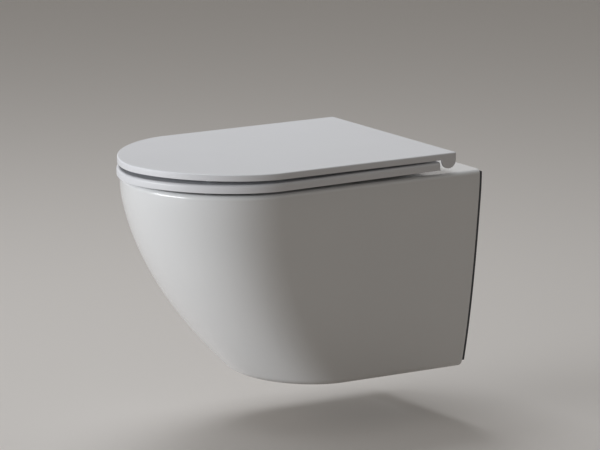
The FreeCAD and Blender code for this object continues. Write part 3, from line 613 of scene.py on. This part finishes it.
def seat_object():
    rows = []
    for rise, inset in reversed(quarter_round(SEAT_UNDER_R, steps=3)):
        rows.append(seat_loop(inset, SEAT_UNDER_Z + rise))
    for drop, inset in quarter_round(SEAT_OUTER_R, steps=8):
        rows.append(seat_loop(inset, SEAT_TOP_Z - drop))
    seat = mesh_from_rows("seat_body", rows)

    rows = [seat_hole_loop(SEAT_UNDER_R, SEAT_UNDER_Z - CLEAR)]
    for rise, flare in reversed(quarter_round(SEAT_UNDER_R, steps=3)):
        rows.append(seat_hole_loop(flare, SEAT_UNDER_Z + rise))
    for drop, flare in quarter_round(SEAT_INNER_R, steps=8):
        rows.append(seat_hole_loop(flare, SEAT_TOP_Z - drop))
    rows.append(seat_hole_loop(SEAT_INNER_R, SEAT_TOP_Z + CLEAR))
    cuts = [mesh_from_rows("seat_hole", rows)]

    border = SEAT_RECESS_BORDER
    rows = []
    for z in (SEAT_UNDER_Z - CLEAR, SEAT_UNDER_Z + SEAT_RECESS):
        rows.append(d_loop(SEAT_HALF_WIDTH - border, SEAT_RECESS_REAR, SEAT_FRONT + border,
                           SEAT_NOSE_LENGTH - border, SEAT_NOSE_POWER, z,
                           SEAT_RECESS_CORNER_R))
    recess = mesh_from_rows("seat_recess", rows)
    kept = [mesh_from_rows("recess_inner", [seat_hole_loop(border, SEAT_UNDER_Z - 2 * CLEAR),
                                            seat_hole_loop(border, SEAT_TOP_Z)])]
    for x, y in SEAT_BUFFERS:
        for side in (-1, 1):
            kept.append(box_object("buffer_boss",
                                   (side * x - BUFFER_BOSS[0], y - BUFFER_BOSS[1],
                                    SEAT_UNDER_Z - 2 * CLEAR),
                                   (side * x + BUFFER_BOSS[0], y + BUFFER_BOSS[1], SEAT_TOP_Z)))
    cuts.append(combine(recess, kept, "DIFFERENCE"))
    for x0, x1 in sides(NOTCH):
        cuts.append(box_object("notch", (x0, NOTCH_FRONT, SEAT_UNDER_Z - CLEAR),
                               (x1, SEAT_REAR + CLEAR, SEAT_TOP_Z + CLEAR)))
    combine(seat, cuts, "DIFFERENCE")

    ears = []
    bores = []
    spans = sides(SEAT_EARS[0]) + sides(SEAT_EARS[1])
    for x0, x1 in spans:
        ears.append(profile_object("seat_ear", seat_ear_outline, x0, x1))
        bores.append(axis_bore(EAR_BORE_R, x0, x1))
    x0, x1 = sides(DAMPER_EAR)[1]
    ears.append(profile_object("damper_ear", seat_ear_outline, x0, x1))
    bores.append(axis_bore(STUB_BORE_R, x0, x1))
    combine(seat, ears, "UNION")
    combine(seat, bores, "DIFFERENCE")
    hinge = Matrix.Translation((0, HINGE_Y, HINGE_Z))
    seat.data.transform(hinge @ Matrix.Rotation(SEAT_TILT, 4, "X") @ hinge.inverted())
    return seat


# ---- cover ----
def cover_loop(inset, z, back=COVER_BACK):
    return d_loop(COVER_HALF_WIDTH - inset, back, COVER_FRONT + inset,
                  SEAT_NOSE_LENGTH - inset, SEAT_NOSE_POWER, z, **FINE_LOOP)


def cover_object():
    rows = []
    for rise, inset in reversed(quarter_round(COVER_LOW_R, steps=3)):
        rows.append(cover_loop(inset, COVER_LOW_Z + rise))
    for drop, inset in quarter_round(COVER_EDGE_R, steps=6):
        rows.append(cover_loop(inset, COVER_TOP_Z - drop))
    cover = mesh_from_rows("cover_body", rows)
    rows = [cover_loop(COVER_RIM, COVER_LOW_Z - CLEAR, COVER_BACK + CLEAR)]
    for drop, inset in quarter_round(COVER_INNER_R, steps=5):
        rows.append(cover_loop(COVER_RIM + inset, COVER_UNDER_Z - drop, COVER_BACK + CLEAR))
    combine(cover, [mesh_from_rows("cover_inside", rows)], "DIFFERENCE")

    added = []
    bores = []
    for x0, x1 in sides((COVER_HALF_WIDTH - COVER_RIM, COVER_HALF_WIDTH)):
        added.append(profile_object("cover_ear", cover_ear_outline, x0, x1))
    for x0, x1 in sides(COVER_BOSS_X):
        added.append(profile_object("cover_boss", cover_boss_outline, x0, x1))
        bores.append(axis_bore(EAR_BORE_R, x0, x1))
    added.append(profile_object("cover_damper_boss", cover_boss_outline, *DAMPER_EAR))
    bores.append(axis_bore(STUB_BORE_R, *DAMPER_EAR))
    combine(cover, added, "UNION")
    return combine(cover, bores, "DIFFERENCE")


# ---- release springs ----
def spring_object(node):
    """A coil of round wire that fills the node's box."""
    low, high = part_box(node)
    middle = (low + high) / 2
    radius = (high.x - low.x) / 2 - SPRING_WIRE_R
    rise = high.z - low.z - 2 * SPRING_WIRE_R
    rows = []
    steps = SPRING_STEPS * SPRING_TURNS
    coil = 2 * math.pi * SPRING_TURNS
    for i in range(steps + 1):
        turn = coil * i / steps
        height = low.z + SPRING_WIRE_R + rise * i / steps
        out = Vector((math.cos(turn), math.sin(turn), 0))
        place = Vector((middle.x, middle.y, height)) + radius * out
        along = Vector((-out.y, out.x, rise / (coil * radius))).normalized()
        up = out.cross(along)
        rows.append([place + SPRING_WIRE_R * (out * math.cos(a) + up * math.sin(a))
                     for a in (2 * math.pi * k / SPRING_SIDES for k in range(SPRING_SIDES))])
    return mesh_from_rows("spring", rows)


# ---- materials ----
DRIFT_SPAN = (0.2, 0.8)   # where the noise reaches each of the two tones


def link(tree, a, b):
    tree.links.new(a, b)


def material(name, tones, grain, roughness, bump, stretch=(1, 1, 1), **sockets):
    """A surface whose colour and gloss drift slightly, with a fine relief.

    tones are two near colours, grain the size of the drift, roughness its lowest and highest
    value, and bump the height of the relief and its size. The sizes are in millimetres.
    """
    made = bpy.data.materials.new(name)
    made.use_nodes = True
    tree = made.node_tree
    shader = tree.nodes["Principled BSDF"]
    place = tree.nodes.new("ShaderNodeTexCoord")
    mapping = tree.nodes.new("ShaderNodeMapping")
    mapping.inputs["Scale"].default_value = stretch
    link(tree, place.outputs["Object"], mapping.inputs["Vector"])

    drift = tree.nodes.new("ShaderNodeTexNoise")
    drift.inputs["Scale"].default_value = 1 / (grain * MM)
    drift.inputs["Detail"].default_value = 1
    link(tree, mapping.outputs["Vector"], drift.inputs["Vector"])
    ramp = tree.nodes.new("ShaderNodeValToRGB")
    for element, tone, spot in zip(ramp.color_ramp.elements, tones, DRIFT_SPAN):
        element.color = (*tone, 1)
        element.position = spot
    link(tree, drift.outputs["Fac"], ramp.inputs["Fac"])
    link(tree, ramp.outputs["Color"], shader.inputs["Base Color"])
    gloss = tree.nodes.new("ShaderNodeMapRange")
    gloss.inputs["To Min"].default_value = roughness[0]
    gloss.inputs["To Max"].default_value = roughness[1]
    link(tree, drift.outputs["Fac"], gloss.inputs["Value"])
    link(tree, gloss.outputs["Result"], shader.inputs["Roughness"])

    relief = tree.nodes.new("ShaderNodeTexNoise")
    relief.inputs["Scale"].default_value = 1 / (bump[1] * MM)
    relief.inputs["Detail"].default_value = 3
    link(tree, mapping.outputs["Vector"], relief.inputs["Vector"])
    rise = tree.nodes.new("ShaderNodeBump")
    rise.inputs["Strength"].default_value = 1
    rise.inputs["Distance"].default_value = bump[0] * MM
    link(tree, relief.outputs["Fac"], rise.inputs["Height"])
    link(tree, rise.outputs["Normal"], shader.inputs["Normal"])
    for socket, value in sockets.items():
        shader.inputs[socket.replace("_", " ")].default_value = value
    return made


MATERIALS = {
    "glazed_white": material(
        "glaze", ((0.770, 0.785, 0.800), (0.790, 0.803, 0.815)), 120, (0.22, 0.28),
        (0.04, 20), Coat_Weight=0.5, Coat_Roughness=0.12),
    "bare_clay": material(
        "bare_clay", ((0.60, 0.585, 0.55), (0.68, 0.665, 0.635)), 10, (0.72, 0.85),
        (0.08, 1.5)),
    "satin_white_plastic": material(
        "satin_plastic", ((0.748, 0.762, 0.795), (0.765, 0.778, 0.810)), 90, (0.34, 0.40),
        (0.01, 1.2)),
    "soft_grey_rubber": material(
        "soft_rubber", ((0.34, 0.35, 0.36), (0.39, 0.40, 0.41)), 6, (0.60, 0.72),
        (0.04, 0.8)),
    "seal_rubber": material(
        "seal_rubber", ((0.014, 0.014, 0.015), (0.024, 0.024, 0.026)), 8, (0.55, 0.70),
        (0.04, 1.0)),
    # Sound mat behind the pan: a real foam sheet, but its near-black tone is also painted shade, standing in for
    # the dark shadow line where the pan meets the wall.
    "foam_mat": material(
        "foam", ((0.075, 0.080, 0.088), (0.115, 0.120, 0.130)), 2, (0.85, 0.95),
        (0.25, 1.2)),
    "steel": material(
        "steel", ((0.52, 0.52, 0.53), (0.62, 0.62, 0.63)), 4, (0.20, 0.34),
        (0.01, 0.6), (1, 1, 6), Metallic=1.0),
    "white_nylon": material(
        "nylon", ((0.70, 0.70, 0.68), (0.76, 0.76, 0.74)), 10, (0.42, 0.50),
        (0.02, 0.9), Subsurface_Weight=0.15, Subsurface_Scale=0.002),
    "damper_grey": material(
        "damper_plastic", ((0.16, 0.17, 0.18), (0.19, 0.20, 0.21)), 6, (0.38, 0.48),
        (0.02, 0.7)),
}


def dress(obj, slot_name):
    if len(obj.data.materials) < 2:
        obj.data.materials.clear()
        obj.data.materials.append(MATERIALS[slot_name])


def smooth(obj):
    """Smooth shading except over sharp edges, with flat faces kept flat."""
    obj.data.polygons.foreach_set("use_smooth", [True] * len(obj.data.polygons))
    obj.data.set_sharp_from_angle(angle=SHARP_ANGLE)
    weights = obj.modifiers.new("flat_faces", "WEIGHTED_NORMAL")
    weights.mode = "FACE_AREA"
    weights.weight = FLAT_WEIGHT
    weights.keep_sharp = True


def soften(obj, radius):
    """Rounds the edges of a carried-over solid."""
    rounds = obj.modifiers.new("rounded_edges", "BEVEL")
    rounds.width = radius
    rounds.segments = ROUND_SEGMENTS
    rounds.limit_method = "ANGLE"
    rounds.angle_limit = ROUND_ANGLE
    rounds.harden_normals = True


def piece(obj, name, body, slot_name, *nodes):
    obj.name = name
    obj.data.name = name
    smooth(obj)
    dress(obj, slot_name)
    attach(obj, body)
    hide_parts(*nodes)
    return obj


# ---- stage, light and camera ----
def camera_axes(azimuth, elevation):
    right = Vector((math.cos(azimuth), math.sin(azimuth), 0))
    back = Vector((math.sin(azimuth) * math.cos(elevation),
                   -math.cos(azimuth) * math.cos(elevation), math.sin(elevation)))
    return right, back.cross(right), back


def make_camera():
    right, up, back = camera_axes(CAMERA_AZIMUTH, CAMERA_ELEVATION)
    place = (CAMERA_TARGET + back * CAMERA_DISTANCE - right * CAMERA_OFFSET_X
             - up * CAMERA_OFFSET_Y)
    data = bpy.data.cameras.new("camera")
    data.lens = CAMERA_LENS_MM
    data.sensor_width = SENSOR_MM
    data.clip_end = CAMERA_CLIP_END
    camera = new_object("camera", data)
    turn = Matrix((right, up, back)).transposed().to_4x4()
    camera.matrix_world = Matrix.Translation(place) @ turn
    bpy.context.scene.camera = camera


def seen_or_lit(tree, seen, lit):
    """Two shaders: one for what the camera, glass and gloss see, one for all other light."""
    rays = tree.nodes.new("ShaderNodeLightPath")
    first = tree.nodes.new("ShaderNodeMath")
    first.operation = "MAXIMUM"
    second = tree.nodes.new("ShaderNodeMath")
    second.operation = "MAXIMUM"
    link(tree, rays.outputs["Is Camera Ray"], first.inputs[0])
    link(tree, rays.outputs["Is Glossy Ray"], first.inputs[1])
    link(tree, first.outputs[0], second.inputs[0])
    link(tree, rays.outputs["Is Transmission Ray"], second.inputs[1])
    mix = tree.nodes.new("ShaderNodeMixShader")
    link(tree, second.outputs[0], mix.inputs[0])
    link(tree, lit, mix.inputs[1])
    link(tree, seen, mix.inputs[2])
    return mix.outputs[0]


def make_floor():
    mesh = bpy.data.meshes.new("floor")
    half = FLOOR_HALF
    mesh.from_pydata([(-half, -half, FLOOR_Z), (half, -half, FLOOR_Z),
                      (half, half, FLOOR_Z), (-half, half, FLOOR_Z)], [], [(0, 1, 2, 3)])
    floor = new_object("floor", mesh)
    made = bpy.data.materials.new("floor")
    made.use_nodes = True
    tree = made.node_tree
    seen = tree.nodes["Principled BSDF"]
    seen.inputs["Base Color"].default_value = (*FLOOR_SEEN, 1)
    seen.inputs["Roughness"].default_value = FLOOR_ROUGHNESS
    lit = tree.nodes.new("ShaderNodeBsdfDiffuse")
    lit.inputs["Color"].default_value = (*FLOOR_LIT, 1)
    mix = seen_or_lit(tree, seen.outputs[0], lit.outputs[0])
    link(tree, mix, tree.nodes["Material Output"].inputs["Surface"])
    mesh.materials.append(made)


def make_world():
    world = bpy.data.worlds.new("studio")
    bpy.context.scene.world = world
    world.use_nodes = True
    tree = world.node_tree
    seen = tree.nodes["Background"]
    seen.inputs["Color"].default_value = (*WORLD_SEEN, 1)
    seen.inputs["Strength"].default_value = 1
    lit = tree.nodes.new("ShaderNodeBackground")
    lit.inputs["Color"].default_value = (*WORLD_LIT, 1)
    lit.inputs["Strength"].default_value = WORLD_STRENGTH
    mix = seen_or_lit(tree, seen.outputs[0], lit.outputs[0])
    link(tree, mix, tree.nodes["World Output"].inputs["Surface"])


def make_lamps():
    for name, place, size, power in LAMPS:
        data = bpy.data.lights.new(name, "AREA")
        data.shape = "RECTANGLE"
        data.size, data.size_y = size
        data.energy = power
        data.color = LAMP_COLOUR
        lamp = new_object(name, data)
        lamp.location = place
        lamp.visible_camera = False
        lamp.rotation_euler = (LAMP_AIM - Vector(place)).to_track_quat("-Z", "Y").to_euler()


def build():
    piece(pan_object(), "pan_glazed", "pan", "glazed_white", *PAN_NODES)
    piece(seat_object(), "seat_ring_formed", "seat", "satin_white_plastic", "seat_ring")
    piece(cover_object(), "seat_cover_formed", "cover", "satin_white_plastic", "seat_cover")
    for side in ("left", "right"):
        node = "release_spring_" + side
        spring = piece(spring_object(node), node + "_coiled", "button_" + side, "steel", node)
        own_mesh(spring)
    slots = {part["node"]: part["material_slot"] for part in frame["record"]["subparts"]}
    for name, obj in frame["nodes"].items():
        slot_name = slots[name]
        obj.data.materials.clear()
        obj.data.materials.append(MATERIALS[slot_name])
        if name in ROUNDED:
            soften(obj, ROUNDED[name])


bpy.context.scene.view_settings.view_transform = "Standard"
make_camera()
build()
make_floor()
make_world()
make_lamps()
